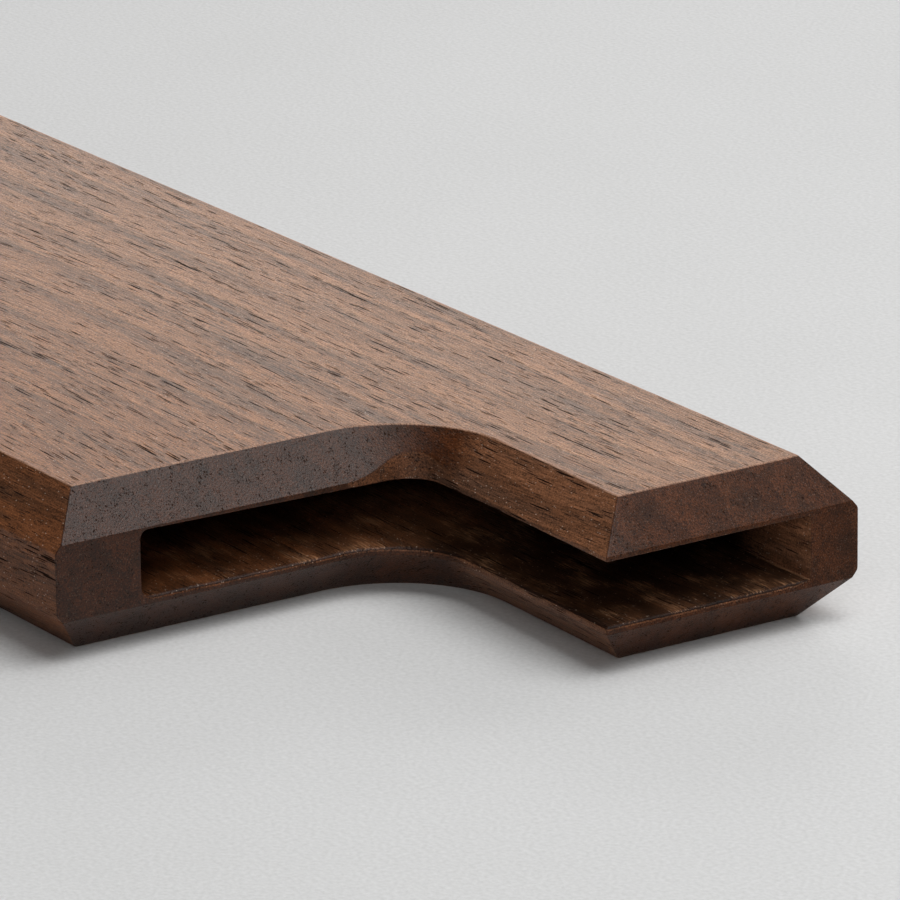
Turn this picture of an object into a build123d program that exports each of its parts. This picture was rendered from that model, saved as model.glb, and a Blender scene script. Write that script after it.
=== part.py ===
from build123d import *
import os
from math import radians, tan

"""Magnetic knife sheath of solid walnut, for a chef's knife.

Two walnut halves are glued face to face. A shallow pocket is routed in each, and
together they make the flat slot that the blade slides into. Disc magnets sit in blind
bores in both pocket faces, and a thin walnut disc closes each bore. The mouth is
stepped: a finger on one side runs on along the blade's spine, and the recess beside it
clears the heel of the blade.

Frame: X runs along the sheath with the mouth at +X, Y across it with the finger on
the +Y side, and Z up. The origin is the centre of the footprint, on the resting face.
"""

# Driving dimensions, in millimetres and degrees.

# Board
LENGTH = 250.0              # closed end to the tip of the finger
WIDTH = 68.7
THICKNESS = 16.0

# Stepped mouth
FINGER_LENGTH = 32.3        # how far the finger stands out beyond the recess
FINGER_WIDTH = 28.2         # at the finger's root
FINGER_FLARE = 1.3          # the finger's inner side opens out towards its tip
UPPER_THROAT_RADIUS = 8.0   # inside corner of the upper half, where the bevel follows it
UPPER_LIP_RADIUS = 3.5      # tighter inside corner of the lip below that bevel
LOWER_THROAT_RADIUS = 8.8   # inside corner of the lower half, all the way down

# Bevels round both broad faces
END_BEVEL_WIDTH = 3.9       # measured across the broad face, on the ends and the mouth
END_BEVEL_HEIGHT = 4.2      # measured down the end
SIDE_BEVEL_WIDTH = 4.2
SIDE_BEVEL_HEIGHT = 4.9

# Blade pocket
POCKET_FLOOR_Z = 5.0
POCKET_CEILING_Z = 11.35
POCKET_WALL_RECESS_SIDE = 9.2
POCKET_WALL_FINGER_SIDE = 5.6
POCKET_END_WALL = 12.0      # wood left at the closed end
POCKET_CUTTER_RADIUS = 8.0  # the router leaves this in the two far corners
POCKET_EDGE_RADIUS = 0.9    # where the recess-side wall meets the floor and the ceiling

# Magnets and the discs that close their bores
MAGNET_DIAMETER = 10.0
MAGNET_THICKNESS = 2.0
MAGNET_EDGE_CHAMFER = 0.2
MAGNET_CLEARANCE = 0.1      # radial, in the bore
COVER_THICKNESS = 0.8
COVER_CLEARANCE = 0.03      # radial, filled with glue
MAGNET_STATIONS = {"tip": -70.0, "middle": -5.0, "mouth": 60.0}

# Worked out from the dimensions above
HALF_THICKNESS = THICKNESS / 2
HALF_LENGTH = LENGTH / 2
HALF_WIDTH = WIDTH / 2
RECESS_X = HALF_LENGTH - FINGER_LENGTH
FINGER_ROOT_Y = HALF_WIDTH - FINGER_WIDTH
FINGER_TIP_Y = FINGER_ROOT_Y - FINGER_LENGTH * tan(radians(FINGER_FLARE))
POCKET_START_X = -HALF_LENGTH + POCKET_END_WALL
POCKET_LOW_Y = -HALF_WIDTH + POCKET_WALL_RECESS_SIDE
POCKET_HIGH_Y = HALF_WIDTH - POCKET_WALL_FINGER_SIDE
POCKET_CENTRE_Y = (POCKET_LOW_Y + POCKET_HIGH_Y) / 2
UPPER_POCKET_DEPTH = POCKET_CEILING_Z - HALF_THICKNESS
LOWER_POCKET_DEPTH = HALF_THICKNESS - POCKET_FLOOR_Z
BORE_RADIUS = MAGNET_DIAMETER / 2 + MAGNET_CLEARANCE
BORE_DEPTH = MAGNET_THICKNESS + COVER_THICKNESS
OVERRUN = 5.0               # how far a cutter runs past the wood


# Each piece is modelled with the glued plane at Z = 0 and the outer side of the board up.
# One of these two then puts it in place.


def in_upper_half(piece):
    """The piece, raised onto the glued plane."""
    return Location((0, 0, HALF_THICKNESS)) * piece


def in_lower_half(piece):
    """The piece, mirrored to the underside of the glued plane."""
    return Location((0, 0, HALF_THICKNESS)) * mirror(piece, about=Plane.XY)


def board_outline(throat_radius):
    """Plan of the board, with a rounded inside corner where the finger leaves the recess."""
    corners = [
        (-HALF_LENGTH, -HALF_WIDTH),
        (RECESS_X, -HALF_WIDTH),
        (RECESS_X, FINGER_ROOT_Y),
        (HALF_LENGTH, FINGER_TIP_Y),
        (HALF_LENGTH, HALF_WIDTH),
        (-HALF_LENGTH, HALF_WIDTH),
    ]
    plan = make_face(Polyline(*corners, close=True))
    throat = plan.vertices().sort_by_distance((RECESS_X, FINGER_ROOT_Y))[0]
    return fillet(throat, throat_radius)


def side_bevel_cutter(side):
    """Wedge that takes the bevel along one long side; side is +1 or -1 in Y."""
    edge_y = side * HALF_WIDTH
    wedge = make_face(Polyline(
        (edge_y - side * SIDE_BEVEL_WIDTH, HALF_THICKNESS),
        (edge_y, HALF_THICKNESS - SIDE_BEVEL_HEIGHT),
        (edge_y, HALF_THICKNESS),
        close=True,
    ))
    return extrude(Plane.YZ * wedge, LENGTH, both=True)


def bevelled_board(throat_radius):
    """Half-thickness board, bevelled all round its outer face."""
    board = extrude(board_outline(throat_radius), HALF_THICKNESS)
    outer_face = board.faces().sort_by(Axis.Z)[-1]
    long_sides = outer_face.edges().filter_by(Axis.X)
    ends_and_mouth = outer_face.edges() - long_sides
    board = chamfer(ends_and_mouth, END_BEVEL_WIDTH, END_BEVEL_HEIGHT, reference=outer_face)
    return board - side_bevel_cutter(1) - side_bevel_cutter(-1)


def pocket_cutter(depth):
    """The routed blade pocket of one half, open at the mouth."""
    run = HALF_LENGTH + OVERRUN - POCKET_START_X
    plan = Location((POCKET_START_X, POCKET_CENTRE_Y)) * Rectangle(
        run, POCKET_HIGH_Y - POCKET_LOW_Y, align=(Align.MIN, Align.CENTER)
    )
    plan = fillet(plan.vertices().group_by(Axis.X)[0], POCKET_CUTTER_RADIUS)
    cutter = extrude(plan, depth)
    deepest_face = cutter.faces().sort_by(Axis.Z)[-1]
    recess_side_edge = deepest_face.edges().filter_by(Axis.X).sort_by(Axis.Y)[0]
    cutter = fillet(recess_side_edge, POCKET_EDGE_RADIUS)
    return cutter + extrude(plan, -OVERRUN)


def magnet_bores(pocket_depth):
    """Blind bores for the magnets, drilled outwards from the pocket face."""
    bores = []
    for station_x in MAGNET_STATIONS.values():
        bore = extrude(Circle(BORE_RADIUS), BORE_DEPTH)
        bores.append(Location((station_x, POCKET_CENTRE_Y, pocket_depth)) * bore)
    return bores


def sheath_half(throat_radius, pocket_depth):
    """One walnut half, with its share of the pocket and its magnet bores."""
    half = bevelled_board(throat_radius) - pocket_cutter(pocket_depth)
    for bore in magnet_bores(pocket_depth):
        half = half - bore
    return half


def upper_half():
    """The upper half, whose lip turns its inside corner tighter than the bevel above it."""
    half = sheath_half(UPPER_THROAT_RADIUS, UPPER_POCKET_DEPTH)
    return half & extrude(board_outline(UPPER_LIP_RADIUS), THICKNESS)


def lower_half():
    """The lower half, whose inside corner has one radius from lip to bevel."""
    return sheath_half(LOWER_THROAT_RADIUS, LOWER_POCKET_DEPTH)


def magnet(station_x, pocket_depth):
    """Disc magnet at the bottom of its bore, with broken edges."""
    disc = extrude(Circle(MAGNET_DIAMETER / 2), MAGNET_THICKNESS)
    disc = chamfer(disc.edges(), MAGNET_EDGE_CHAMFER)
    return Location((station_x, POCKET_CENTRE_Y, pocket_depth + COVER_THICKNESS)) * disc


def cover_disc(station_x, pocket_depth):
    """Thin walnut disc glued over a magnet, flush with the pocket face."""
    disc = extrude(Circle(BORE_RADIUS - COVER_CLEARANCE), COVER_THICKNESS)
    return Location((station_x, POCKET_CENTRE_Y, pocket_depth)) * disc


def build_nodes():
    """Every piece of the sheath, in place, by node name."""
    nodes = {"upper_half": in_upper_half(upper_half()), "lower_half": in_lower_half(lower_half())}
    sides = (
        ("upper", in_upper_half, UPPER_POCKET_DEPTH),
        ("lower", in_lower_half, LOWER_POCKET_DEPTH),
    )
    for side, put_in_place, depth in sides:
        for station, station_x in MAGNET_STATIONS.items():
            nodes[f"magnet_{side}_{station}"] = put_in_place(magnet(station_x, depth))
            nodes[f"cover_disc_{side}_{station}"] = put_in_place(cover_disc(station_x, depth))
    return nodes


def main():
    os.makedirs("parts", exist_ok=True)
    for name, solid in build_nodes().items():
        solid.label = name
        export_step(solid, f"parts/{name}.step")


main()
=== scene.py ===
"""Visual model of a magnetic knife sheath of solid walnut.

The sheath is two walnut halves glued face to face round a flat blade pocket, with disc
magnets under thin cover discs inside it. Each half is built here as one closed mesh with
eased edges, a stepped mouth and a routed pocket, in the place that the frame gives it.
Lengths in this file are in millimetres until a mesh is written, which is in metres.
"""

import logging
import math
from dataclasses import dataclass, field
from enum import Enum
from typing import Optional, Sequence, Union

import bpy
import bmesh
from mathutils import Matrix, Vector, geometry, noise


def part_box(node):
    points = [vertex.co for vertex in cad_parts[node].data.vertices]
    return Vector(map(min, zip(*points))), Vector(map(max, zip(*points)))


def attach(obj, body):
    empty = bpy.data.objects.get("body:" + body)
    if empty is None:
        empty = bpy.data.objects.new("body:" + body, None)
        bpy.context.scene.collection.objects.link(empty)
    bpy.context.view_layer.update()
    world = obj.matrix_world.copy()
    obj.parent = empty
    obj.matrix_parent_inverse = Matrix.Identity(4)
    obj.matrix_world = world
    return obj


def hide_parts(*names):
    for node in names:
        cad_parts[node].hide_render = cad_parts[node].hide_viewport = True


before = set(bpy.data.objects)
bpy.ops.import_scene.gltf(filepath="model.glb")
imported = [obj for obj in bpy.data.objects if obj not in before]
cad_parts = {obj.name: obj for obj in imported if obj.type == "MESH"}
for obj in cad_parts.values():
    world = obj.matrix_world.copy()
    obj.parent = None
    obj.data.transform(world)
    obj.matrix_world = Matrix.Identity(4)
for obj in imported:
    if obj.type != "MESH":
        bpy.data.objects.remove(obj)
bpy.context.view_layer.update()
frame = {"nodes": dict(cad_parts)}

LOG = logging.getLogger("sheath")
MM = 0.001

Point2 = tuple[float, float]
Point3 = tuple[float, float, float]


# ---------------------------------------------------------------- colour and nodes


def linear(hex_colour: str, alpha: float = 1.0) -> tuple[float, float, float, float]:
    """Turn an sRGB hex colour into the linear values that shaders take.

    Args:
        hex_colour: Colour as "#rrggbb".
        alpha: Opacity to go with it.

    Returns:
        Linear red, green and blue, then alpha.
    """
    channels = [int(hex_colour[i:i + 2], 16) / 255 for i in (1, 3, 5)]
    red, green, blue = (c / 12.92 if c <= 0.04045 else ((c + 0.055) / 1.055) ** 2.4 for c in channels)
    return red, green, blue, alpha


def add_node(
    tree: bpy.types.NodeTree,
    kind: str,
    inputs: Optional[dict[Union[int, str], object]] = None,
    stops: Sequence[tuple[float, tuple[float, ...]]] = (),
    **settings: object,
) -> bpy.types.Node:
    """Add one shader node with its settings, its input values and its links.

    Args:
        tree: Node tree that gets the node.
        kind: Blender's name for the node, without "ShaderNode".
        inputs: Input name or number to a value, or to the output socket to link.
        stops: Positions and colours of a colour ramp's stops.
        **settings: Attributes set on the node itself.

    Returns:
        The new node.
    """
    node = tree.nodes.new("ShaderNode" + kind)
    for name, value in settings.items():
        setattr(node, name, value)
    if stops:
        ramp = node.color_ramp
        while len(ramp.elements) < len(stops):
            ramp.elements.new(0.5)
        for element, (position, colour) in zip(ramp.elements, stops):
            element.position = position
            element.color = colour
    for key, value in (inputs or {}).items():
        socket = node.inputs[key]
        if isinstance(value, bpy.types.NodeSocket):
            tree.links.new(value, socket)
        else:
            socket.default_value = value
    return node


def grey(value: float) -> tuple[float, float, float, float]:
    """A grey of the given linear value, for a ramp's stops."""
    return value, value, value, 1.0


def new_material(name: str) -> tuple[bpy.types.Material, bpy.types.NodeTree]:
    """An empty node material and its tree."""
    material = bpy.data.materials.new(name)
    material.use_nodes = True
    material.node_tree.nodes.clear()
    return material, material.node_tree


# ---------------------------------------------------------------- the board's shape


class Half(Enum):
    """The two walnut halves, by the side of the glued plane that they lie on."""

    UPPER = 1
    LOWER = -1


class Run(Enum):
    """Stretches of the board's outline, in order round it from the slot's recess-side end."""

    RECESS_MOUTH = 0
    THROAT = 1
    FINGER_SIDE = 2
    FINGER_CORNER = 3
    FINGER_MOUTH = 4
    FINGER_WALL = 5
    BACK_MOUTH_CORNER = 6
    BACK_SIDE = 7
    BACK_TIP_CORNER = 8
    TIP = 9
    FRONT_TIP_CORNER = 10
    FRONT_SIDE = 11
    FRONT_MOUTH_CORNER = 12
    RECESS_WALL = 13


OPEN_RUNS = (Run.RECESS_MOUTH, Run.THROAT, Run.FINGER_SIDE, Run.FINGER_CORNER, Run.FINGER_MOUTH)


def bend(corner: Vector, before: Vector, after: Vector, reach: float, t: float) -> Vector:
    """Point on a small rounded corner.

    Args:
        corner: Where the two sides would meet.
        before: Unit direction from the corner back along the first side.
        after: Unit direction from the corner on along the second side.
        reach: How far along each side the rounding reaches.
        t: Place on the rounding, from 0 to 1.

    Returns:
        The point on the rounding.
    """
    first, last = corner + before * reach, corner + after * reach
    return first * (1 - t) ** 2 + corner * 2 * t * (1 - t) + last * t ** 2


def soft_ramp(value: float, softness: float) -> float:
    """Zero below 0 and the value above it, blended over the given softness each way."""
    if value <= -softness:
        return 0.0
    if value >= softness:
        return value
    return (value + softness) ** 2 / (4 * softness)


@dataclass(frozen=True)
class Bevel:
    """One kind of bevel round a broad face, in millimetres."""

    width: float
    height: float

    @property
    def slope(self) -> float:
        """Width gained per unit of height."""
        return self.width / self.height


@dataclass(frozen=True)
class BoardPlan:
    """Plan and bevels that both halves share, in millimetres and radians."""

    length: float
    width: float
    half_thickness: float
    finger_length: float = 32.3
    finger_width: float = 28.2
    finger_flare: float = math.radians(1.3)
    end_bevel: Bevel = Bevel(3.9, 4.2)
    side_bevel: Bevel = Bevel(4.2, 4.9)
    corner_reach: float = 0.22
    slot_wall_front: float = 9.2
    slot_wall_back: float = 5.6
    slot_end_wall: float = 12.0
    slot_end_radius: float = 8.0
    slot_edge_radius: float = 0.9

    @property
    def recess_x(self) -> float:
        """Where the recessed part of the mouth stands."""
        return self.length / 2 - self.finger_length

    @property
    def tip_x(self) -> float:
        """Where the finger's front stands."""
        return self.length / 2

    @property
    def slot_front_y(self) -> float:
        """The slot's wall on the recess side."""
        return -self.width / 2 + self.slot_wall_front

    @property
    def slot_back_y(self) -> float:
        """The slot's wall on the finger side."""
        return self.width / 2 - self.slot_wall_back

    def finger_y(self, x: float, offset: float) -> float:
        """The finger's inner side at x, moved into the wood by an offset."""
        root_y = self.width / 2 - self.finger_width
        flared = (x - self.recess_x) * math.tan(self.finger_flare)
        return root_y - flared + offset / math.cos(self.finger_flare)

    def throat_centre(self, radius: float) -> Vector:
        """Centre of an arc of the given radius that rounds the mouth's inside corner."""
        x = self.recess_x + radius
        return Vector((x, self.finger_y(x, -radius)))

    def outline(self, run: Run, t: float, end: float, side: float, radius: float) -> Vector:
        """Point on the outline after the bevels have moved it into the wood.

        Args:
            run: Which stretch of the outline.
            t: Place on that stretch, from 0 to 1.
            end: How far the ends and the mouth have moved in.
            side: How far the two long sides have moved in.
            radius: Radius of the throat before it moved.

        Returns:
            The point in plan.
        """
        recess_x, tip_x, far_x = self.recess_x - end, self.tip_x - end, -self.length / 2 + end
        back_y, front_y = self.width / 2 - side, -self.width / 2 + side
        centre = self.throat_centre(radius)
        along, across = Vector((1, 0)), Vector((0, 1))
        finger_way = Vector((math.cos(self.finger_flare), -math.sin(self.finger_flare)))
        finger_corner = Vector((tip_x, self.finger_y(tip_x, end)))
        corners = {
            Run.FINGER_CORNER: (finger_corner, -finger_way, across),
            Run.BACK_MOUTH_CORNER: (Vector((tip_x, back_y)), -across, -along),
            Run.BACK_TIP_CORNER: (Vector((far_x, back_y)), along, -across),
            Run.FRONT_TIP_CORNER: (Vector((far_x, front_y)), across, along),
            Run.FRONT_MOUTH_CORNER: (Vector((recess_x, front_y)), -along, across),
        }
        if run in corners:
            return bend(*corners[run], self.corner_reach, t)
        if run is Run.THROAT:
            angle = math.pi - t * (math.pi / 2 + self.finger_flare)
            return centre + Vector((math.cos(angle), math.sin(angle))) * (radius + end)

        def corner_end(corner: Run, last: float) -> Vector:
            """First or last point of a rounded corner."""
            return bend(*corners[corner], self.corner_reach, last)

        wall_way = Vector((math.sin(self.finger_flare), math.cos(self.finger_flare)))
        throat_out = centre + wall_way * (radius + end)
        straight = {
            Run.RECESS_MOUTH: (Vector((recess_x, self.slot_front_y)), Vector((recess_x, centre.y))),
            Run.FINGER_SIDE: (throat_out, corner_end(Run.FINGER_CORNER, 0)),
            Run.FINGER_MOUTH: (corner_end(Run.FINGER_CORNER, 1), Vector((tip_x, self.slot_back_y))),
            Run.FINGER_WALL: (Vector((tip_x, self.slot_back_y)), corner_end(Run.BACK_MOUTH_CORNER, 0)),
            Run.BACK_SIDE: (corner_end(Run.BACK_MOUTH_CORNER, 1), corner_end(Run.BACK_TIP_CORNER, 0)),
            Run.TIP: (corner_end(Run.BACK_TIP_CORNER, 1), corner_end(Run.FRONT_TIP_CORNER, 0)),
            Run.FRONT_SIDE: (corner_end(Run.FRONT_TIP_CORNER, 1), corner_end(Run.FRONT_MOUTH_CORNER, 0)),
            Run.RECESS_WALL: (corner_end(Run.FRONT_MOUTH_CORNER, 1), Vector((recess_x, self.slot_front_y))),
        }
        start, stop = straight[run]
        return start.lerp(stop, t)


@dataclass(frozen=True)
class RouterRelief:
    """Relief that a router bit leaves in the pocket, in millimetres."""

    tear: float = 0.06
    strand: Point2 = (3.0, 0.35)
    step: float = 0.05
    step_width: float = 0.4
    pass_width: float = 14.6
    first_pass: float = -3.75

    def height(self, x: float, y: float) -> float:
        """Extra depth at a place: steps between passes, and fibres torn along the grain."""
        lane = (y - self.first_pass) / self.pass_width
        edge = min(1.0, (lane - math.floor(lane)) * self.pass_width / self.step_width)
        step = self.step * (edge if math.floor(lane) % 2 else 1 - edge)
        length, width = self.strand
        return step + self.tear * noise.noise(Vector((x / length, y / width, 0.0)))


@dataclass
class Column:
    """One upright line of vertices round the outside of a half."""

    run: Run
    t: float
    is_open: bool
    band: float = 0.0
    lip: float = 0.0
    lip_ease: float = 0.0
    softness: float = 0.0
    heights: list[float] = field(default_factory=list)


@dataclass
class SheathHalf:
    """One walnut half, built outwards from the glued plane, in millimetres.

    Heights are measured from the glued plane towards the half's broad face.
    """

    plan: BoardPlan
    half: Half
    pocket_depth: float
    throat_radius: float
    lip_radius: Optional[float] = None
    lip_ease: float = 0.1
    lip_droop: float = 0.0
    arris_ease: float = 0.11
    kink_softness: float = 0.04
    throat_softness: float = 0.45
    side_kink_softness: float = 0.2
    floor_pitch: Point2 = (3.0, 3.0)
    relief: RouterRelief = RouterRelief()
    lip_detail: int = 1
    bore_radius: float = 5.1
    bore_depth: float = 2.8
    bore_places: Sequence[Point2] = ()

    SEGMENTS = {
        Run.RECESS_MOUTH: 34, Run.THROAT: 40, Run.FINGER_SIDE: 26, Run.FINGER_CORNER: 4,
        Run.FINGER_MOUTH: 30, Run.FINGER_WALL: 5, Run.BACK_MOUTH_CORNER: 4, Run.BACK_SIDE: 12,
        Run.BACK_TIP_CORNER: 4, Run.TIP: 8, Run.FRONT_TIP_CORNER: 4, Run.FRONT_SIDE: 12,
        Run.FRONT_MOUTH_CORNER: 4, Run.RECESS_WALL: 5,
    }
    UNDER_LEVELS = 2
    BEVEL_LEVELS = 3
    ARRIS_LEVELS = 5
    ARRIS_BORDER = 0.12
    LIP_MASK = 0.6
    FLOOR_ZONE = 30.0
    BORE_MARGIN = 0.4
    SHARP_FROM = math.radians(38)

    def __post_init__(self) -> None:
        """Start with an empty mesh."""
        self.mesh = bmesh.new()
        self.arris = self.mesh.verts.layers.float.new("arris")
        self.routed = self.mesh.verts.layers.float.new("routed")

    # Heights and offsets

    @property
    def top(self) -> float:
        """Height of the broad face."""
        return self.plan.half_thickness

    @property
    def end_kink(self) -> float:
        """Height at which the bevel of the ends and the mouth starts."""
        return self.top - self.plan.end_bevel.height

    @property
    def side_kink(self) -> float:
        """Height at which the bevel of the long sides starts."""
        return self.top - self.plan.side_bevel.height

    def floor_height(self, x: float, y: float) -> float:
        """Depth of the routed pocket at a place, with the rounded edge along its front wall."""
        radius = self.plan.slot_edge_radius
        inward = y - self.plan.slot_front_y
        depth = self.pocket_depth + self.relief.height(x, y)
        depth -= self.lip_droop * self.mouth_share(x, y)
        if inward < radius:
            depth += math.sqrt(max(0.0, radius ** 2 - (radius - max(0.0, inward)) ** 2)) - radius
        return depth

    def mouth_share(self, x: float, y: float) -> float:
        """How far the pocket's surface leans to the recessed lip's slanted edge, from -1 to 1."""
        behind = self.plan.recess_x - x
        near = max(0.0, 1 - (behind / 6 if behind > 0 else -behind / 12))
        middle = (self.plan.slot_front_y + self.plan.finger_y(self.plan.recess_x, 0)) / 2
        reach = self.plan.finger_y(self.plan.recess_x, 0) - middle
        return near * max(-1.0, min(1.0, (y - middle) / reach))

    def lip_band(self, t: float) -> float:
        """How far the lip's tighter inside corner cuts into the wood beyond the throat's arc."""
        flare = self.plan.finger_flare
        angle = math.pi - t * (math.pi / 2 + flare)
        way = Vector((math.cos(angle), math.sin(angle)))
        wall_way = Vector((math.sin(flare), math.cos(flare)))
        reach = min(self.throat_radius / share for share in (-way.x, way.dot(wall_way)) if share > 1e-6)
        centre = self.plan.throat_centre(self.lip_radius)
        to_start = self.plan.throat_centre(self.throat_radius) - centre
        half_b = way.dot(to_start)
        inner = half_b ** 2 - to_start.length_squared + self.lip_radius ** 2
        if inner >= 0:
            to_arc = -half_b + math.sqrt(inner)
            hit = to_start + way * to_arc
            if math.pi / 2 - flare <= math.atan2(hit.y, hit.x) <= math.pi:
                reach = to_arc
        return max(0.0, reach - self.throat_radius)

    def offsets(self, column: Column, level: int) -> Point2:
        """How far the ends and the sides have moved in at one level of a column."""
        height = column.heights[level]
        end_slope, side_slope = self.plan.end_bevel.slope, self.plan.side_bevel.slope
        first_arris = len(column.heights) - self.ARRIS_LEVELS - 1
        if level >= first_arris:
            t = min(1.0, (level - first_arris) / (self.ARRIS_LEVELS - 1))
            drop = self.arris_ease * (1 - t) ** 2
            outward = self.arris_ease * 1.3 * t ** 2
            if level == len(column.heights) - 1:
                outward += self.ARRIS_BORDER
            return (self.plan.end_bevel.width - drop * end_slope + outward,
                    self.plan.side_bevel.width - drop * side_slope + outward)
        rise = (height - self.end_kink) * end_slope - column.band
        end = column.band + soft_ramp(rise, column.softness)
        side = soft_ramp((height - self.side_kink) * side_slope, self.side_kink_softness)
        if column.is_open and level < 4:
            end += column.lip_ease * (1 - level / 3) ** 2
        return end, side

    # Columns

    def level_heights(self, column: Column) -> list[float]:
        """Heights of a column's levels above the pocket, from its lip to the broad face."""
        kink = self.end_kink + column.band / self.plan.end_bevel.slope
        soft = column.softness / self.plan.end_bevel.slope
        kink_levels = [kink + soft * k for k in (-1, -0.5, 0, 0.5, 1)]
        if column.is_open:
            lip = [column.lip + column.lip_ease * (i / 3) ** 2 for i in range(4)]
            low = lip + [lip[-1] + (kink_levels[0] - lip[-1]) * i / 3 for i in (1, 2)]
        else:
            reach = self.side_kink_softness
            low = [column.lip] + [self.side_kink + reach * k for k in (-1, -0.5, 0, 0.5, 1)]
        last = self.top - self.arris_ease
        step = (last - kink_levels[-1]) / (self.BEVEL_LEVELS + 1)
        bevel = [kink_levels[-1] + step * (i + 1) for i in range(self.BEVEL_LEVELS)]
        arris = [self.top - self.arris_ease * (1 - i / (self.ARRIS_LEVELS - 1)) ** 2
                 for i in range(self.ARRIS_LEVELS)]
        return low + kink_levels + bevel + arris + [self.top]

    def columns(self) -> list[Column]:
        """Every column round the half, starting where the slot opens in the recess."""
        made = []
        wall_depth = self.pocket_depth - self.plan.slot_edge_radius
        for run, segments in self.SEGMENTS.items():
            count = segments * (self.lip_detail if run in OPEN_RUNS else 1)
            for i in range(count):
                t = i / count
                if run is Run.RECESS_MOUTH:
                    t = t ** 1.6
                column = Column(run, t, run in OPEN_RUNS and not (run is Run.RECESS_MOUTH and i == 0))
                column.lip = min(wall_depth, self.side_kink - self.side_kink_softness - 0.1)
                column.softness = self.kink_softness
                if run is Run.THROAT and self.lip_radius is not None:
                    column.band = self.lip_band(t)
                    column.softness += self.throat_softness * min(1.0, column.band) * t
                if column.is_open:
                    place = self.plan.outline(run, t, column.band, 0, self.throat_radius)
                    column.lip = self.floor_height(place.x, place.y)
                    to_wall = min(abs(place.y - self.plan.slot_front_y), abs(place.y - self.plan.slot_back_y))
                    column.lip_ease = self.lip_ease * min(1.0, to_wall / 1.5)
                column.heights = self.level_heights(column)
                made.append(column)
        self.settle_slot_ends(made)
        return made

    def settle_slot_ends(self, made: list[Column]) -> None:
        """Set the two columns where the slot's walls meet the mouth, and blend up to them."""
        first = made[0]
        first.lip = self.floor_height(self.plan.recess_x, self.plan.slot_front_y)
        first.heights[0] = first.lip
        wall = [c for c in made if c.run is Run.FINGER_WALL]
        corner = next(c for c in made if c.run is Run.BACK_MOUTH_CORNER)
        stop = wall[0]
        stop.lip = self.floor_height(self.plan.tip_x, self.plan.slot_back_y)
        kink = self.end_kink - self.kink_softness / self.plan.end_bevel.slope
        stop.heights[:6] = [stop.lip + (kink - stop.lip) * i / 6 for i in range(6)]
        for column in wall[1:]:
            column.heights = [a + (b - a) * column.t for a, b in zip(stop.heights, corner.heights)]

    # Mesh

    def add_vertex(self, x: float, y: float, height: float, arris: float = 0.0,
                   routed: float = 0.0) -> bmesh.types.BMVert:
        """Add a vertex in the frame's own axes, with its two surface masks."""
        z = self.plan.half_thickness + self.half.value * height
        vertex = self.mesh.verts.new((x, y, z))
        vertex[self.arris] = arris
        vertex[self.routed] = routed
        return vertex

    def add_face(self, corners: Sequence[bmesh.types.BMVert]) -> None:
        """Add a face, leaving out corners that come twice."""
        unique = list(dict.fromkeys(corners))
        if len(unique) > 2:
            self.mesh.faces.new(unique)

    def add_strip(self, near: Sequence[bmesh.types.BMVert], far: Sequence[bmesh.types.BMVert]) -> None:
        """Add the faces between two neighbouring lines of vertices."""
        for k in range(len(near) - 1):
            self.add_face([near[k], far[k], far[k + 1], near[k + 1]])

    def fill(self, loop: list[bmesh.types.BMVert], inner: list[bmesh.types.BMVert],
             holes: list[list[bmesh.types.BMVert]]) -> None:
        """Triangulate a level region in plan.

        Args:
            loop: Vertices of its outer edge, in order.
            inner: Loose vertices inside it.
            holes: Closed rings of vertices inside it that stay open.
        """
        turn = sum(a.co.x * b.co.y - b.co.x * a.co.y for a, b in zip(loop, loop[1:] + loop[:1]))
        loop = loop if turn > 0 else loop[::-1]
        vertices = loop + [v for ring in holes for v in ring] + inner
        edges = []
        start = len(loop)
        for ring in holes:
            count = len(ring)
            edges += [(start + i, start + (i + 1) % count) for i in range(count)]
            start += count
        flat = [v.co.xy for v in vertices]
        result = geometry.delaunay_2d_cdt(flat, edges, [list(range(len(loop)))], 0, 1e-7, True)
        ring_of = {v: k for k, ring in enumerate(holes) for v in ring}
        for triangle, inside in zip(result[2], result[5]):
            corners = [vertices[result[3][k][0]] for k in triangle]
            rings = {ring_of.get(v) for v in corners}
            if inside and (len(rings) > 1 or None in rings):
                self.add_face(corners)

    def slot_path(self) -> list[Point2]:
        """Plan of the slot's walls, from the recess round the closed end to the finger's front."""
        plan = self.plan
        far_x, radius = -plan.length / 2 + plan.slot_end_wall, plan.slot_end_radius
        steps, turns = 16, 10
        path = [(plan.recess_x + (far_x + radius - plan.recess_x) * i / steps, plan.slot_front_y)
                for i in range(steps)]
        for centre_y, start in ((plan.slot_front_y + radius, 1.5), (plan.slot_back_y - radius, 1.0)):
            for i in range(turns + 1):
                angle = math.pi * (start - i / turns / 2)
                path.append((far_x + radius + radius * math.cos(angle), centre_y + radius * math.sin(angle)))
        path += [(far_x + radius + (plan.tip_x - far_x - radius) * (i + 1) / steps, plan.slot_back_y)
                 for i in range(steps)]
        return path

    def inside_pocket(self, x: float, y: float, margin: float) -> bool:
        """Whether a place is inside the pocket's floor, clear of its edges by a margin."""
        plan = self.plan
        if not plan.slot_front_y + margin < y < plan.slot_back_y - margin:
            return False
        if x > plan.tip_x - margin:
            return False
        centre = plan.throat_centre(self.throat_radius)
        if x > plan.recess_x - margin and y < plan.finger_y(x, margin):
            in_corner = x < centre.x and y > centre.y
            if not in_corner:
                return False
            reach = (Vector((x, y)) - centre).length
            tight = self.lip_radius or self.throat_radius
            return reach > self.throat_radius + (self.throat_radius - tight) + margin
        return x > -plan.length / 2 + plan.slot_end_wall + plan.slot_end_radius + margin

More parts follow.
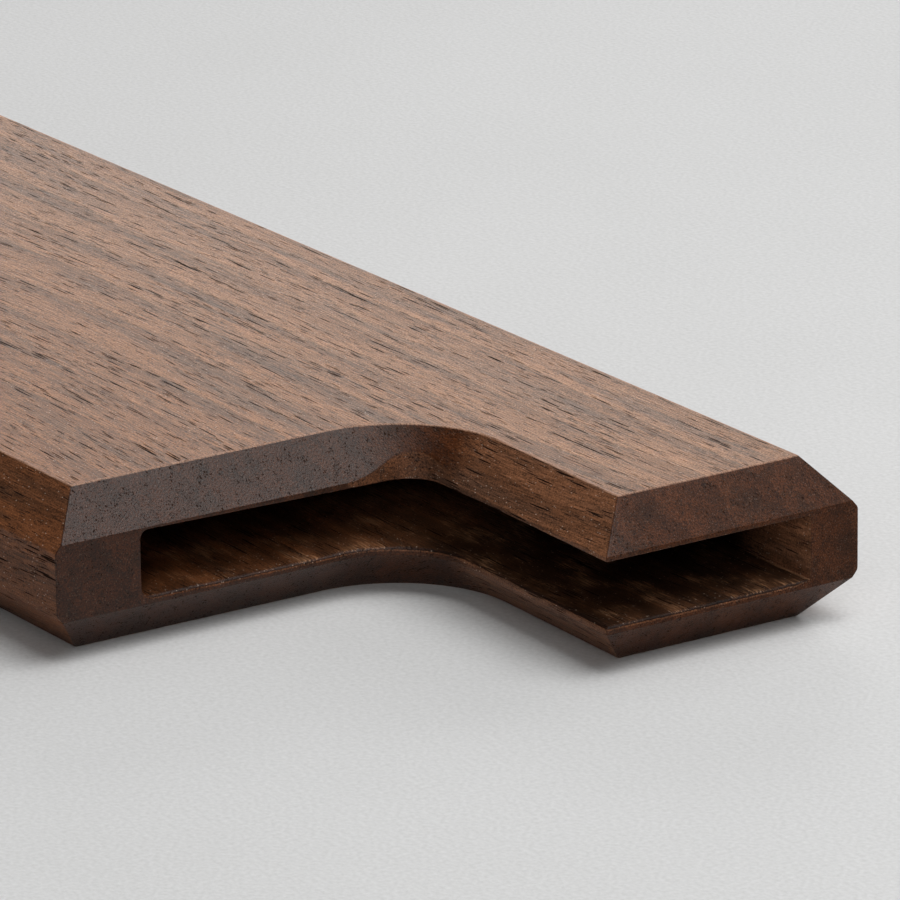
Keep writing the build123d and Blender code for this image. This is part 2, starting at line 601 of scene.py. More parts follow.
    def floor_points(self) -> list[Point2]:
        """Places of the floor's loose vertices: close together at the mouth, wide apart behind it."""
        plan = self.plan
        places = []
        pitch_x, pitch_y = self.floor_pitch
        zone_x = plan.recess_x - self.FLOOR_ZONE
        columns = int((plan.tip_x - zone_x) / pitch_x)
        rows = int((plan.slot_back_y - plan.slot_front_y) / pitch_y)
        for i in range(columns):
            for j in range(1, rows):
                x = zone_x + (i + 0.5 * (j % 2)) * pitch_x
                y = plan.slot_front_y + j * pitch_y
                places.append((x, y))
        radius, turns, steps = plan.slot_edge_radius, 5, 120
        far_x = -plan.length / 2 + plan.slot_end_wall + plan.slot_end_radius
        for k in range(1, turns + 1):
            y = plan.slot_front_y + radius * (1 - math.cos(math.pi / 2 * k / turns))
            places += [(far_x + (plan.recess_x - far_x) * i / steps, y) for i in range(1, steps)]
        return [p for p in places
                if self.inside_pocket(*p, 0.12 if p[1] < plan.slot_front_y + radius else 0.25)
                or (p[1] <= plan.slot_front_y + radius + 1e-6 and p[0] < plan.recess_x - 0.5)]

    def bore(self, place: Point2) -> list[bmesh.types.BMVert]:
        """Blind bore for one magnet; returns its rim in the pocket's floor."""
        sides = 48
        rings = []
        floor = self.floor_height(*place)
        for height in (floor, floor + self.bore_depth):
            ring = []
            for i in range(sides):
                angle = 2 * math.pi * i / sides
                x = place[0] + self.bore_radius * math.cos(angle)
                y = place[1] + self.bore_radius * math.sin(angle)
                ring.append(self.add_vertex(x, y, height, routed=1.0))
            rings.append(ring)
        for i in range(sides):
            j = (i + 1) % sides
            self.add_strip([ring[i] for ring in rings], [ring[j] for ring in rings])
        self.add_face(rings[1])
        return rings[0]

    def build(self) -> bpy.types.Object:
        """Build the half as one closed mesh.

        Returns:
            The new object, in metres and in its place in the frame.
        """
        plan, radius = self.plan, self.throat_radius
        columns = self.columns()
        levels = len(columns[0].heights)
        arris = range(levels - self.ARRIS_LEVELS, levels - 1)
        grid, under = [], []
        for column in columns:
            uprights = []
            for level, height in enumerate(column.heights):
                place = plan.outline(column.run, column.t, *self.offsets(column, level), radius)
                on_arris = 1.0 if level in arris else 0.0
                below_kink = column.band > 0 and height < self.end_kink + column.band / plan.end_bevel.slope
                on_lip = 1.0 if column.is_open and level < 3 else self.LIP_MASK * below_kink
                uprights.append(self.add_vertex(place.x, place.y, height, arris=on_arris, routed=on_lip))
            grid.append(uprights)
            closed = not column.is_open
            foot = plan.outline(column.run, column.t, 0, 0, radius)
            steps = self.UNDER_LEVELS if closed else 0
            under.append([self.add_vertex(foot.x, foot.y, k) for k in range(steps)])
        for i, near in enumerate(grid):
            j = (i + 1) % len(grid)
            self.add_strip(near, grid[j])
            if under[i] and under[j]:
                self.add_strip(under[i] + near[:1], under[j] + grid[j][:1])
        self.add_face([uprights[-1] for uprights in grid])

        path = self.slot_path()
        stop = next(i for i, c in enumerate(columns) if c.run is Run.FINGER_WALL)
        walls = [under[0] + grid[0][:1]]
        for x, y in path[1:-1]:
            depth = self.floor_height(x, y)
            walls.append([self.add_vertex(x, y, h, routed=1.0) for h in (0, 1, depth)])
        walls.append(under[stop] + grid[stop][:1])
        for near, far in zip(walls, walls[1:]):
            self.add_strip(near, far)
        self.fill([u[0] for u in under[stop:]] + [w[0] for w in walls[:-1]], [], [])
        rims = [self.bore(place) for place in self.bore_places]
        floor_loop = [w[2] for w in walls] + [grid[i][0] for i in range(stop - 1, 0, -1)]
        clear = self.bore_radius + self.BORE_MARGIN
        inner = [self.add_vertex(x, y, self.floor_height(x, y), routed=1.0) for x, y in self.floor_points()
                 if all(math.dist((x, y), bore) > clear for bore in self.bore_places)]
        self.fill(floor_loop, inner, rims)
        return self.finish()

    def finish(self) -> bpy.types.Object:
        """Tidy the mesh, count its open edges, write it in metres and shade it by face area."""
        bmesh.ops.recalc_face_normals(self.mesh, faces=self.mesh.faces)
        self.mesh.transform(Matrix.Scale(MM, 4))
        loose = [v for v in self.mesh.verts if not v.link_faces]
        bmesh.ops.delete(self.mesh, geom=loose, context="VERTS")
        gaps = sum(1 for e in self.mesh.edges if len(e.link_faces) != 2)
        LOG.info("%s half: %d faces, %d open edges", self.half.name.lower(), len(self.mesh.faces), gaps)
        mesh = bpy.data.meshes.new(f"{self.half.name.lower()}_board")
        self.mesh.to_mesh(mesh)
        self.mesh.free()
        mesh.shade_smooth()
        mesh.set_sharp_from_angle(angle=self.SHARP_FROM)
        piece = bpy.data.objects.new(mesh.name, mesh)
        bpy.context.scene.collection.objects.link(piece)
        weighted = piece.modifiers.new("even_shading", "WEIGHTED_NORMAL")
        weighted.keep_sharp = True
        weighted.weight = 90
        return piece


# ---------------------------------------------------------------- finishes


@dataclass(frozen=True)
class Faces:
    """Which kind of surface the wood shows at a place; each mask runs from 0 to 1."""

    end: bpy.types.NodeSocket
    narrow_cut_and_shade: bpy.types.NodeSocket
    pocket: bpy.types.NodeSocket
    floor: bpy.types.NodeSocket
    edge_wear_and_highlight: bpy.types.NodeSocket
    heart: bpy.types.NodeSocket
    recess_side: bpy.types.NodeSocket
    inner_pocket: bpy.types.NodeSocket


@dataclass(frozen=True)
class Walnut:
    """Rift-sawn black walnut, sanded fine; sizes are in millimetres.

    The eye gets a warm brown with a low satin veil at a flat angle, short dark pore
    dashes that gather in bands, grey-brown streaks, and a fine sparkle where cut fibres
    catch the light. End grain is darker, and the same pores show there as faint dots:
    grey with a soft sheen on the recess side, redder and duller towards the finger. The
    routed pocket is darker, partly its own colour and partly painted shade, darkest towards
    the finger's front and paler farther in, with painted shade on its upright walls. Faces
    that do not face up carry some painted shade, and the eased arrises a painted highlight
    along with their wear.
    """

    name: str

    # Colours
    early_wood: str
    late_wood: str
    streak: str
    pore: str = "#20140e"
    fleck: str = "#d9c0ac"
    # Faces that do not face up are darkened: partly their other cut of the grain, partly painted shade.
    narrow_face_cut_and_shade_tint: str = "#d4c7c4"
    recess_side_tint: str = "#e9d7c0"
    end_grain_tint: str = "#8c7c69"
    heart_end_tint: str = "#9c8770"
    # Lighter colour along the eased arrises: partly wear, partly a painted highlight.
    worn_and_highlit_edge: str = "#b58c74"
    # The pocket is darkened, most towards the finger's front and less farther in: partly the routed wood's
    # own colour, partly painted shade.
    finger_pocket_wood_and_shade: str = "#7f756e"
    inner_pocket_wood_and_shade: str = "#d6c2b2"
    # Painted shade on the pocket's upright walls.
    pocket_wall_shade: str = "#b0a6a0"
    # Lighter torn fibres in the pocket floor: partly raw fibre colour, partly a painted highlight.
    torn_fibre_and_highlight_colour: str = "#a87c5a"

    # Shine
    roughness: float = 0.5
    end_roughness: float = 0.38
    pore_roughness: float = 0.85
    specular: float = 0.18
    end_specular: float = 0.33
    heart_specular: float = 0.12
    pore_specular: float = 0.03

    # Where the board changes: first value where a change starts, second where it is complete
    heart: Point2 = (-2.0, 10.0)
    recess_side: Point2 = (22.0, -28.0)
    inner_pocket: Point2 = (97.0, 88.0)

    # Grain: length along it and width across it
    fibre: Point2 = (2.6, 0.14)
    fibre_contrast: float = 2.3
    sanding: float = 0.17
    band: Point2 = (14.0, 0.9)
    streak_size: Point2 = (46.0, 2.6)
    ring_width: float = 5.5
    pith: Point2 = (-150.0, -70.0)
    pore_size: Point2 = (3.2, 0.14)
    fine_pore_size: Point2 = (1.7, 0.09)
    torn_fibre: Point2 = (1.9, 0.15)
    tear_out: float = 3.5
    router_pass: float = 5.2

    # A cut fibre is about 0.07 mm wide; its speck is drawn in a cell some four times as
    # long and three times as wide, so that it shows.
    fleck_cell: Point2 = (0.28, 0.182)
    fleck_share: Point2 = (0.5, 0.07)

    # Relief
    relief_strength: float = 0.7
    relief_depth: float = 0.08

    def stretched(self, tree: bpy.types.NodeTree, place: bpy.types.NodeSocket,
                  size: Point2) -> bpy.types.NodeSocket:
        """Scale a place so that one unit is the size's length along the grain and its width across it."""
        length, width = size
        return add_node(tree, "VectorMath", {0: place, 1: (1 / length, 1 / width, 1 / width)},
                        operation="MULTIPLY").outputs[0]

    def noise(self, tree: bpy.types.NodeTree, place: bpy.types.NodeSocket, size: Point2,
              detail: float) -> bpy.types.NodeSocket:
        """Noise whose lumps have the size's length along the grain and its width across it."""
        return add_node(tree, "TexNoise", {"Vector": self.stretched(tree, place, size), "Scale": 1.0,
                                           "Detail": detail, "Roughness": 0.6}).outputs["Fac"]

    def grain(self, tree: bpy.types.NodeTree, place: bpy.types.Node) -> bpy.types.NodeSocket:
        """The place in millimetres, bent a little as real grain wanders along a board."""
        in_mm = add_node(tree, "VectorMath", {0: place.outputs["Object"], "Scale": 1 / MM},
                         operation="SCALE")
        drift = add_node(tree, "TexNoise", {"Vector": in_mm.outputs[0], "Scale": 0.012, "Detail": 1.0})
        centred = add_node(tree, "VectorMath", {0: drift.outputs["Color"], 1: (0.5, 0.5, 0.5)},
                           operation="SUBTRACT")
        return add_node(tree, "VectorMath", {0: centred.outputs[0], 1: (0.0, 5.0, 5.0), 2: in_mm.outputs[0]},
                        operation="MULTIPLY_ADD").outputs[0]

    def growth(self, tree: bpy.types.NodeTree, grain: bpy.types.NodeSocket,
               streak: bpy.types.NodeSocket) -> bpy.types.NodeSocket:
        """Growth rings: 0 in early wood, rising to 1 in late wood, round a pith well to one side."""
        from_pith = add_node(tree, "VectorMath", {0: grain, 1: (0.0, *self.pith)}, operation="SUBTRACT")
        across = add_node(tree, "VectorMath", {0: from_pith.outputs[0], 1: (0.0, 1.0, 1.0)},
                          operation="MULTIPLY")
        distance = add_node(tree, "VectorMath", {0: across.outputs[0]}, operation="LENGTH")
        wander = add_node(tree, "Math", {0: streak, 1: 6.0, 2: distance.outputs["Value"]},
                          operation="MULTIPLY_ADD")
        ring = add_node(tree, "Math", {0: wander.outputs[0], 1: 1 / self.ring_width}, operation="MULTIPLY")
        phase = add_node(tree, "Math", {0: ring.outputs[0]}, operation="FRACT")
        return add_node(tree, "ValToRGB", {0: phase.outputs[0]},
                        stops=[(0.0, grey(0.0)), (0.62, grey(0.45)), (0.93, grey(1.0)),
                               (1.0, grey(0.0))]).outputs[0]

    def vessels(self, tree: bpy.types.NodeTree, grain: bpy.types.NodeSocket, size: Point2,
                spread: Point2, crowd: bpy.types.NodeSocket) -> bpy.types.NodeSocket:
        """Pores: long ellipsoids along the grain, cut open by whatever face the wood has.

        Args:
            tree: Node tree of the material.
            grain: Place along and across the grain.
            size: Mean length and width of a pore.
            spread: Smallest and largest radius, as a share of the cell that holds one pore.
            crowd: Where the pores gather, from 0 to 1.

        Returns:
            1 inside a pore and 0 outside, with a soft edge.
        """
        mean_radius = (spread[0] + spread[1]) / 2
        cells = self.stretched(tree, grain, (size[0] / mean_radius / 2, size[1] / mean_radius / 2))
        pores = add_node(tree, "TexVoronoi", {"Vector": cells, "Scale": 1.0}, feature="F1")
        radius = add_node(tree, "MapRange", {0: pores.outputs["Color"], 3: spread[0], 4: spread[1]})
        gathered = add_node(tree, "MapRange", {0: crowd, 1: 0.38, 2: 0.62, 3: 0.4, 4: 1.15})
        grown = add_node(tree, "Math", {0: radius.outputs[0], 1: gathered.outputs[0]}, operation="MULTIPLY")
        edge = add_node(tree, "Math", {0: grown.outputs[0], 1: pores.outputs["Distance"]},
                        operation="SUBTRACT")
        return add_node(tree, "MapRange", {0: edge.outputs[0], 1: 0.0, 2: 0.2 * mean_radius}).outputs[0]

    def specks(self, tree: bpy.types.NodeTree, grain: bpy.types.NodeSocket,
               end: bpy.types.NodeSocket) -> bpy.types.NodeSocket:
        """Pale specks where a cut fibre catches the light: closer together but fainter on end grain."""
        cells = self.stretched(tree, grain, self.fleck_cell)
        flecks = add_node(tree, "TexVoronoi", {"Vector": cells, "Scale": 1.0}, feature="F1")
        chance = add_node(tree, "MapRange", {0: end, 3: 0.76, 4: 0.62})
        picked = add_node(tree, "Math", {0: flecks.outputs["Color"], 1: chance.outputs[0]},
                          operation="SUBTRACT")
        radius = add_node(tree, "MapRange", {0: picked.outputs[0], 1: 0.0, 2: 0.1, 3: 0.0, 4: 0.38})
        edge = add_node(tree, "Math", {0: radius.outputs[0], 1: flecks.outputs["Distance"]},
                        operation="SUBTRACT")
        shown = add_node(tree, "MapRange", {0: edge.outputs[0], 1: 0.0, 2: 0.12})
        share = add_node(tree, "MapRange", {0: end, 3: self.fleck_share[0], 4: self.fleck_share[1]})
        return add_node(tree, "Math", {0: shown.outputs[0], 1: share.outputs[0]},
                        operation="MULTIPLY").outputs[0]

    def router_marks(self, tree: bpy.types.NodeTree,
                     grain: bpy.types.NodeSocket) -> tuple[bpy.types.NodeSocket, bpy.types.NodeSocket]:
        """What the router leaves in the pocket.

        Args:
            tree: Node tree of the material.
            grain: Place along and across the grain.

        Returns:
            Where torn fibres stand up, and the tone of each pass and tear-out patch.
        """
        strands = self.noise(tree, grain, self.torn_fibre, 1.0)
        patches = self.noise(tree, grain, (self.tear_out * 1.6, self.tear_out), 1.5)
        ragged = add_node(tree, "Math", {0: strands, 1: patches}, operation="ADD")
        torn = add_node(tree, "MapRange", {0: ragged.outputs[0], 1: 1.1, 2: 1.35, 3: 0.0, 4: 0.8}).outputs[0]
        place = add_node(tree, "SeparateXYZ", {0: grain})
        lane = add_node(tree, "Math", {0: place.outputs["Y"], 1: 1 / self.router_pass},
                        operation="MULTIPLY")
        lanes = add_node(tree, "TexVoronoi", {"W": lane.outputs[0], "Scale": 1.0}, voronoi_dimensions="1D",
                         feature="F1")
        lane_tone = add_node(tree, "MapRange", {0: lanes.outputs["Color"], 3: 0.6, 4: 1.2})
        patch_tone = add_node(tree, "MapRange", {0: patches, 1: 0.3, 2: 0.7, 3: 0.6, 4: 1.4})
        tone = add_node(tree, "Math", {0: lane_tone.outputs[0], 1: patch_tone.outputs[0]},
                        operation="MULTIPLY")
        return torn, tone.outputs[0]

    def faces(self, tree: bpy.types.NodeTree, place: bpy.types.Node, grain: bpy.types.NodeSocket) -> Faces:
        """Tell the kinds of surface apart, by where they face, by place and by the mesh's own masks.

        Args:
            tree: Node tree of the material.
            place: Texture coordinates.
            grain: Place along and across the grain.

        Returns:
            The masks.
        """
        facing = add_node(tree, "SeparateXYZ", {0: place.outputs["Normal"]})
        along = add_node(tree, "Math", {0: facing.outputs["X"]}, operation="ABSOLUTE")
        upright = add_node(tree, "Math", {0: facing.outputs["Z"]}, operation="ABSOLUTE")
        routed = add_node(tree, "Attribute", attribute_name="routed").outputs["Fac"]
        cut_end = add_node(tree, "MapRange", {0: along.outputs[0], 1: 0.04, 2: 0.3})
        burnished = add_node(tree, "MapRange", {0: routed, 1: 0.0, 2: 0.5, 3: 1.0, 4: 0.4})
        end = add_node(tree, "Math", {0: cut_end.outputs[0], 1: burnished.outputs[0]}, operation="MULTIPLY")
        pocket = add_node(tree, "MapRange", {0: routed, 1: 0.65, 2: 0.9})
        level_face = add_node(tree, "MapRange", {0: upright.outputs[0], 1: 0.4, 2: 0.8})
        floor = add_node(tree, "Math", {0: pocket.outputs[0], 1: level_face.outputs[0]},
                         operation="MULTIPLY")
        at = add_node(tree, "SeparateXYZ", {0: grain}).outputs
        heart, recess_side, inner_pocket = (
            add_node(tree, "MapRange", {0: at[axis], 1: start, 2: complete}).outputs[0]
            for axis, (start, complete) in (("Y", self.heart), ("Y", self.recess_side), ("X", self.inner_pocket)))
        return Faces(
            end=end.outputs[0],
            narrow_cut_and_shade=add_node(tree, "MapRange", {0: upright.outputs[0], 1: 0.93, 2: 0.8}).outputs[0],
            pocket=pocket.outputs[0],
            floor=floor.outputs[0],
            edge_wear_and_highlight=add_node(tree, "Attribute", attribute_name="arris").outputs["Fac"],
            heart=heart,
            recess_side=recess_side,
            inner_pocket=inner_pocket,
        )

    def bare_wood(self, tree: bpy.types.NodeTree, grain: bpy.types.NodeSocket, band: bpy.types.NodeSocket,
                  mottle: bpy.types.NodeSocket) -> bpy.types.NodeSocket:
        """Colour of the wood itself: growth rings, grey-brown streaks and fibre.

        Args:
            tree: Node tree of the material.
            grain: Place along and across the grain.
            band: Bands that pores and streaks share.
            mottle: Fibre and sanding together, about 1 on the mean.

        Returns:
            The colour.
        """
        streak = self.noise(tree, grain, self.streak_size, 2.5)
        rings = self.growth(tree, grain, streak)
        wood = add_node(tree, "Mix", {0: rings, 6: linear(self.early_wood), 7: linear(self.late_wood)},
                        data_type="RGBA").outputs[2]
        for pattern, low, high in ((streak, 0.5, 0.7), (band, 0.52, 0.72)):
            streaky = add_node(tree, "MapRange", {0: pattern, 1: low, 2: high, 3: 0.0, 4: 0.7})
            wood = add_node(tree, "Mix", {0: streaky.outputs[0], 6: wood, 7: linear(self.streak)},
                            data_type="RGBA").outputs[2]
        centred = add_node(tree, "Math", {0: mottle, 1: 1.0}, operation="SUBTRACT")
        level = add_node(tree, "Math", {0: centred.outputs[0], 1: self.fibre_contrast, 2: 1.0},
                         operation="MULTIPLY_ADD")
        return add_node(tree, "Mix", {0: 1.0, 6: wood, 7: level.outputs[0]}, data_type="RGBA",
                        blend_type="MULTIPLY").outputs[2]

    def tinted(self, tree: bpy.types.NodeTree, grain: bpy.types.NodeSocket, wood: bpy.types.NodeSocket,
               faces: Faces) -> bpy.types.NodeSocket:
        """Tint the wood by the surface it shows, and add the router's marks.

        Args:
            tree: Node tree of the material.
            grain: Place along and across the grain.
            wood: Colour of the bare wood.
            faces: Masks of the surfaces.

        Returns:
            The tinted colour.
        """
        pocket_wood_and_shade = add_node(tree, "Mix", {
            0: faces.inner_pocket, 6: linear(self.finger_pocket_wood_and_shade), 7: linear(self.inner_pocket_wood_and_shade)},
            data_type="RGBA")
        end_tint = add_node(tree, "Mix", {
            0: faces.heart, 6: linear(self.end_grain_tint), 7: linear(self.heart_end_tint)}, data_type="RGBA")
        pocket_wall = add_node(tree, "Math", {0: faces.pocket, 1: faces.floor}, operation="SUBTRACT")
        torn, passes = self.router_marks(tree, grain)
        for mask, tint in (
            # Darker faces that do not face up: partly their other cut of the grain, partly painted shade.
            (faces.recess_side, linear(self.recess_side_tint)), (faces.narrow_cut_and_shade, linear(self.narrow_face_cut_and_shade_tint)),
            # Darker pocket: partly the routed wood's own colour, partly painted shade.
            (faces.end, end_tint.outputs[2]), (faces.pocket, pocket_wood_and_shade.outputs[2]),
            # Painted shade on the pocket's upright walls.
            (pocket_wall.outputs[0], linear(self.pocket_wall_shade)), (faces.floor, passes),
        ):
            wood = add_node(tree, "Mix", {0: mask, 6: wood, 7: tint}, data_type="RGBA",
                            blend_type="MULTIPLY").outputs[2]
        # Torn fibres are lighter: partly raw fibre colour, partly a painted highlight.
        raised = add_node(tree, "Math", {0: torn, 1: faces.floor}, operation="MULTIPLY")
        return add_node(tree, "Mix", {0: raised.outputs[0], 6: wood, 7: linear(self.torn_fibre_and_highlight_colour)},
                        data_type="RGBA").outputs[2]

    def material(self) -> bpy.types.Material:
        """Build the material from its grain field.

        Returns:
            The node material.
        """
        material, tree = new_material(self.name)
        place = add_node(tree, "TexCoord")
        grain = self.grain(tree, place)
        faces = self.faces(tree, place, grain)
        fibre = self.noise(tree, grain, self.fibre, 2.0)
        sanded = self.noise(tree, grain, (self.sanding, self.sanding), 1.0)
        mottle = add_node(tree, "Math", {0: fibre, 1: sanded}, operation="ADD").outputs[0]
        band = self.noise(tree, grain, self.band, 2.0)
        coarse = self.vessels(tree, grain, self.pore_size, (0.12, 0.34), band)
        fine = self.vessels(tree, grain, self.fine_pore_size, (0.14, 0.34), band)
        pores = add_node(tree, "Math", {0: fine, 1: 0.85, 2: coarse}, operation="MULTIPLY_ADD",
                         use_clamp=True).outputs[0]

        # Pores are shallow on end grain, and rubbed shut along the worn arrises.
        open_pores = pores
        for mask, share in ((faces.end, 0.5), (faces.edge_wear_and_highlight, 0.2)):
            kept = add_node(tree, "MapRange", {0: mask, 3: 1.0, 4: share})
            open_pores = add_node(tree, "Math", {0: open_pores, 1: kept.outputs[0]},
                                  operation="MULTIPLY").outputs[0]
        # Lighter, patchy colour along the eased arrises: partly wear, partly a painted highlight where their
        # rounding catches the light.
        patchy = add_node(tree, "MapRange", {0: mottle, 1: 0.8, 2: 1.2, 3: 0.25, 4: 0.9})
        edge_wear_and_highlight_mask = add_node(tree, "Math", {0: faces.edge_wear_and_highlight, 1: patchy.outputs[0]}, operation="MULTIPLY")
        wood = self.tinted(tree, grain, self.bare_wood(tree, grain, band, mottle), faces)
        for mask, colour in ((self.specks(tree, grain, faces.end), self.fleck), (open_pores, self.pore),
                             (edge_wear_and_highlight_mask.outputs[0], self.worn_and_highlit_edge)):
            wood = add_node(tree, "Mix", {0: mask, 6: wood, 7: linear(colour)}, data_type="RGBA").outputs[2]

        hollow = add_node(tree, "Math", {0: open_pores, 1: -1.2, 2: fibre}, operation="MULTIPLY_ADD")
        relief = add_node(tree, "Bump", {
            "Height": hollow.outputs[0], "Strength": self.relief_strength,
            "Distance": self.relief_depth * MM})
        sheen = add_node(tree, "MapRange", {0: faces.end, 3: self.roughness, 4: self.end_roughness})
        shine = add_node(tree, "MapRange", {0: pores, 3: sheen.outputs[0], 4: self.pore_roughness})
        end_gloss = add_node(tree, "MapRange", {0: faces.heart, 3: self.end_specular, 4: self.heart_specular})
        face_gloss = add_node(tree, "MapRange", {0: faces.end, 3: self.specular, 4: end_gloss.outputs[0]})
        gloss = add_node(tree, "MapRange", {0: open_pores, 3: face_gloss.outputs[0], 4: self.pore_specular})
        shader = add_node(tree, "BsdfPrincipled", {
            "Base Color": wood, "Roughness": shine.outputs[0], "Normal": relief.outputs[0],
            "IOR": 1.5, "Specular IOR Level": gloss.outputs[0]})
        add_node(tree, "OutputMaterial", {"Surface": shader.outputs[0]})
        return material


# Oiled boards: deep, warm and satin.
OILED_WALNUT = Walnut("oiled_walnut", early_wood="#9e7354", late_wood="#7e5b42", streak="#6a5547")

# Discs left bare after sanding: greyer, lighter and quite matt.
DRY_WALNUT = Walnut("dry_walnut", early_wood="#8d7563", late_wood="#776252", streak="#6b5a50", roughness=0.7)


@dataclass(frozen=True)
class NickelPlate:
    """Bright nickel plated on a sintered magnet, tumbled before plating.

    The eye gets a smooth, faintly warm mirror with fine scratches. A scratch is about
    0.05 mm wide, and is drawn eight times as wide so that it shows.
    """

    name: str = "nickel_plate"
    colour: str = "#cfcac0"
    roughness: float = 0.22
    scratched: str = "#b8b2a6"
    scratch_width: float = 0.4

    def material(self) -> bpy.types.Material:
        """Build the material.

        Returns:
            The node material.
        """
        material, tree = new_material(self.name)
        place = add_node(tree, "TexCoord")
        stretched = add_node(tree, "VectorMath", {
            0: place.outputs["Object"], 1: (1 / MM, 1 / (self.scratch_width * MM), 1 / MM)},
            operation="MULTIPLY")
        scratches = add_node(tree, "TexNoise", {"Vector": stretched.outputs[0], "Scale": 1.0, "Detail": 2.0})
        shine = add_node(tree, "MapRange", {0: scratches.outputs["Fac"], 1: 0.3, 2: 0.7,
                                            3: self.roughness * 0.8, 4: self.roughness * 1.4})
        tone = add_node(tree, "Mix", {
            0: scratches.outputs["Fac"], 6: linear(self.colour), 7: linear(self.scratched)}, data_type="RGBA")
        relief = add_node(tree, "Bump", {
            "Height": scratches.outputs["Fac"], "Strength": 0.1, "Distance": 0.01 * MM})
        shader = add_node(tree, "BsdfPrincipled", {
            "Base Color": tone.outputs[2], "Metallic": 1.0, "Roughness": shine.outputs[0],
            "Normal": relief.outputs[0]})
        add_node(tree, "OutputMaterial", {"Surface": shader.outputs[0]})
        return material


@dataclass(frozen=True)
class PaleConcrete:
    """Trowelled pale concrete under the sheath, with its patches and grit in millimetres.

    The eye gets a matt, near white surface that is faintly mottled.
    """

    name: str = "pale_concrete"
    light: str = "#dcdcdc"
    dark: str = "#cbcbca"
    mottle: float = 45.0
    grit: float = 0.5
    roughness: float = 0.75

    def material(self) -> bpy.types.Material:
        """Build the material.

        Returns:
            The node material.
        """
        material, tree = new_material(self.name)
        place = add_node(tree, "TexCoord")
        mottle = add_node(tree, "TexNoise", {
            "Vector": place.outputs["Object"], "Scale": 1 / (self.mottle * MM), "Detail": 5.0,
            "Roughness": 0.6})
        grit = add_node(tree, "TexNoise", {"Vector": place.outputs["Object"], "Scale": 1 / (self.grit * MM),
                                           "Detail": 2.0})
        mixed = add_node(tree, "Math", {0: mottle.outputs["Fac"], 1: 0.3, 2: grit.outputs["Fac"]},
                         operation="MULTIPLY_ADD")
        tone = add_node(tree, "ValToRGB", {0: mixed.outputs[0]},
                        stops=[(0.35, linear(self.dark)), (0.95, linear(self.light))])
        relief = add_node(tree, "Bump", {"Height": mixed.outputs[0], "Strength": 0.3, "Distance": 0.12 * MM})
        shader = add_node(tree, "BsdfPrincipled", {
            "Base Color": tone.outputs[0], "Roughness": self.roughness, "Normal": relief.outputs[0]})
        add_node(tree, "OutputMaterial", {"Surface": shader.outputs[0]})
        return material


# ---------------------------------------------------------------- assembly and studio


@dataclass
class KnifeSheath:
    """The sheath's pieces round their CAD frame."""

    nodes: dict[str, bpy.types.Object]

    def __post_init__(self) -> None:
        """Read the sizes that the frame gives."""
        low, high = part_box("upper_half")
        self.plan = BoardPlan(
            length=(high.x - low.x) / MM, width=(high.y - low.y) / MM, half_thickness=(high.z - low.z) / MM)

    def magnet_places(self) -> list[Point2]:
        """Centres of the magnets of one half, in plan and in millimetres."""
        places = []
        for name in sorted(self.nodes):
            if name.startswith("magnet_upper"):
                low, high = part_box(name)
                places.append(((low.x + high.x) / 2 / MM, (low.y + high.y) / 2 / MM))
        return places

    def pocket_depth(self, half: Half) -> float:
        """How far a half's pocket goes in from the glued plane, from where its cover discs end."""
        low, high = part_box(f"cover_disc_{half.name.lower()}_middle")
        middle = self.plan.half_thickness
        return low.z / MM - middle if half is Half.UPPER else middle - high.z / MM

    def build(self) -> None:
        """Build both halves and dress every piece."""
        finishes = (OILED_WALNUT, DRY_WALNUT, NickelPlate())
        walnut, dry_walnut, nickel = (finish.material() for finish in finishes)
        halves = [
            SheathHalf(self.plan, Half.UPPER, self.pocket_depth(Half.UPPER), throat_radius=8.0,
                       lip_radius=3.5, lip_ease=0.07, lip_droop=0.27,
                       relief=RouterRelief(tear=0.03, step=0.0), lip_detail=2,
                       bore_places=self.magnet_places()),
            SheathHalf(self.plan, Half.LOWER, self.pocket_depth(Half.LOWER), throat_radius=8.8, lip_ease=0.45,
                       floor_pitch=(0.7, 0.3), lip_detail=3, bore_places=self.magnet_places()),
        ]
        for half in halves:
            piece = half.build()
            piece.data.materials.append(walnut)
            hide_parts(f"{half.half.name.lower()}_half")
            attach(piece, "root")
            LOG.info("built %s", piece.name)
        for name, node in self.nodes.items():
            node.data.materials.clear()
            node.data.materials.append(nickel if name.startswith("magnet") else dry_walnut)
            LOG.info("dressed %s", name)


@dataclass(frozen=True)
class Softbox:
    """One square area light, aimed at the sheath's mouth."""

    name: str
    place: Point3
    size: float
    power: float

    def build(self, aim: Vector) -> None:
        """Hang the light and point it."""
        data = bpy.data.lights.new(self.name, "AREA")
        data.shape = "SQUARE"
        data.size = self.size
        data.energy = self.power
        light = bpy.data.objects.new(self.name, data)
        light.location = Vector(self.place)
        light.visible_camera = False
        light.rotation_euler = (aim - light.location).to_track_quat("-Z", "Y").to_euler()
        bpy.context.scene.collection.objects.link(light)


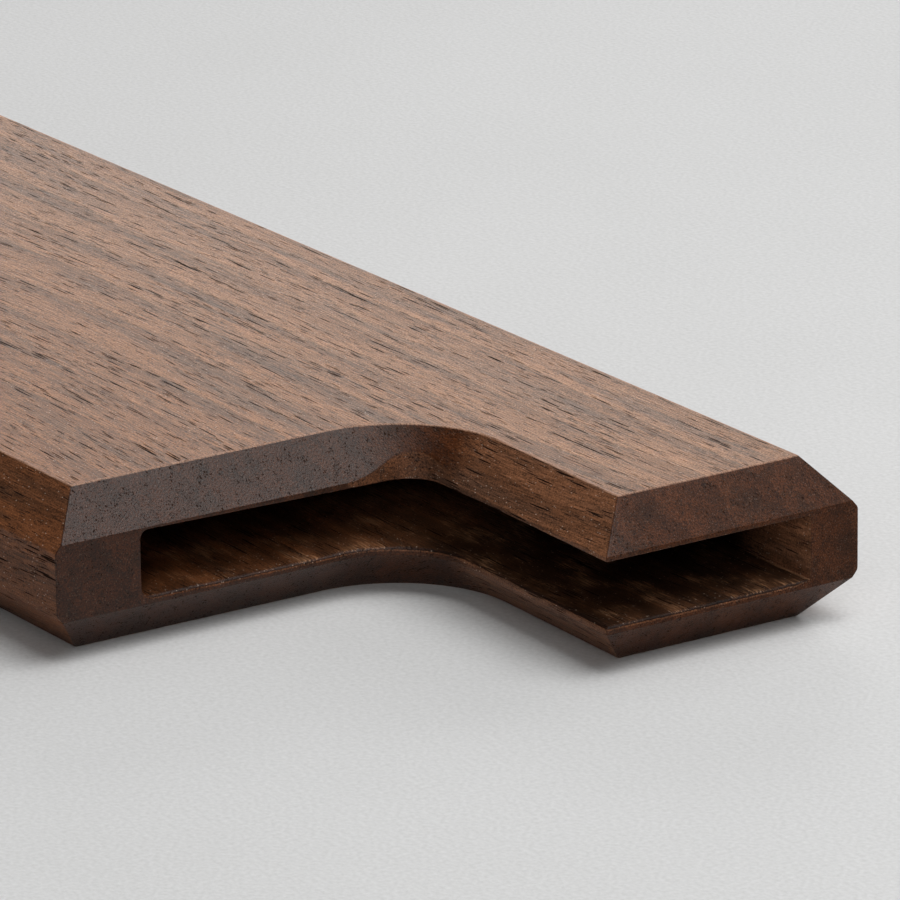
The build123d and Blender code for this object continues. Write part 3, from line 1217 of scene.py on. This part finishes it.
@dataclass
class Studio:
    """Camera, floor and light."""

    azimuth: float = math.radians(-33.64)
    elevation: float = math.radians(18.11)
    roll: float = math.radians(-0.69)
    distance: float = 0.7622
    lens: float = 312.2
    aim: Point3 = (0.0803, 0.01797, 0.008)
    world_light: float = 0.03
    world_colour: str = "#f4f5f6"
    floor_reach: float = 6.0
    lights: tuple[Softbox, ...] = (
        Softbox("overhead_softbox", (0.32, 0.2, 0.82), 0.75, 7.4),
        Softbox("side_softbox", (-0.1, 0.81, 0.48), 0.45, 1.4),
        Softbox("back_softbox", (-0.71, 0.52, 0.21), 0.45, 2.1),
        Softbox("front_softbox", (0.74, -0.46, 0.48), 0.45, 1.9),
    )

    def build(self) -> None:
        """Set the floor, the lights, the world and the camera."""
        self.build_floor()
        for light in self.lights:
            light.build(Vector(self.aim))
        world = bpy.data.worlds.new("studio")
        world.use_nodes = True
        background = world.node_tree.nodes["Background"]
        background.inputs["Color"].default_value = linear(self.world_colour)
        background.inputs["Strength"].default_value = self.world_light
        bpy.context.scene.world = world
        bpy.context.scene.view_settings.view_transform = "Standard"
        self.build_camera()

    def build_floor(self) -> None:
        """Lay a plain pale floor under the sheath."""
        mesh = bpy.data.meshes.new("floor")
        quarters = ((-1, -1), (1, -1), (1, 1), (-1, 1))
        places = [(x * self.floor_reach, y * self.floor_reach, 0.0) for x, y in quarters]
        mesh.from_pydata(places, [], [(0, 1, 2, 3)])
        floor = bpy.data.objects.new("floor", mesh)
        floor.data.materials.append(PaleConcrete().material())
        bpy.context.scene.collection.objects.link(floor)

    def build_camera(self) -> None:
        """Place the camera on its orbit round the mouth."""
        level = math.cos(self.elevation)
        back = Vector((level * math.cos(self.azimuth), level * math.sin(self.azimuth),
                       math.sin(self.elevation)))
        right = (-back).cross(Vector((0, 0, 1))).normalized()
        up = right.cross(-back)
        turned_right = right * math.cos(self.roll) + up * math.sin(self.roll)
        turned_up = up * math.cos(self.roll) - right * math.sin(self.roll)
        place = Matrix((turned_right, turned_up, back)).transposed().to_4x4()
        place.translation = Vector(self.aim) + back * self.distance
        data = bpy.data.cameras.new("camera")
        data.lens = self.lens
        data.sensor_width = 36.0
        data.clip_start, data.clip_end = 0.01, 50.0
        camera = bpy.data.objects.new("camera", data)
        camera.matrix_world = place
        bpy.context.scene.collection.objects.link(camera)
        bpy.context.scene.camera = camera


def corners(bounds: tuple[Vector, Vector]) -> list[list[float]]:
    """A box's two corners as plain lists."""
    return [list(corner) for corner in bounds]


def main() -> None:
    """Build the sheath and the studio."""
    logging.basicConfig(level=logging.INFO, format="%(name)s: %(message)s")
    KnifeSheath(frame["nodes"]).build()
    Studio().build()


if __name__ == "__main__":
    main()
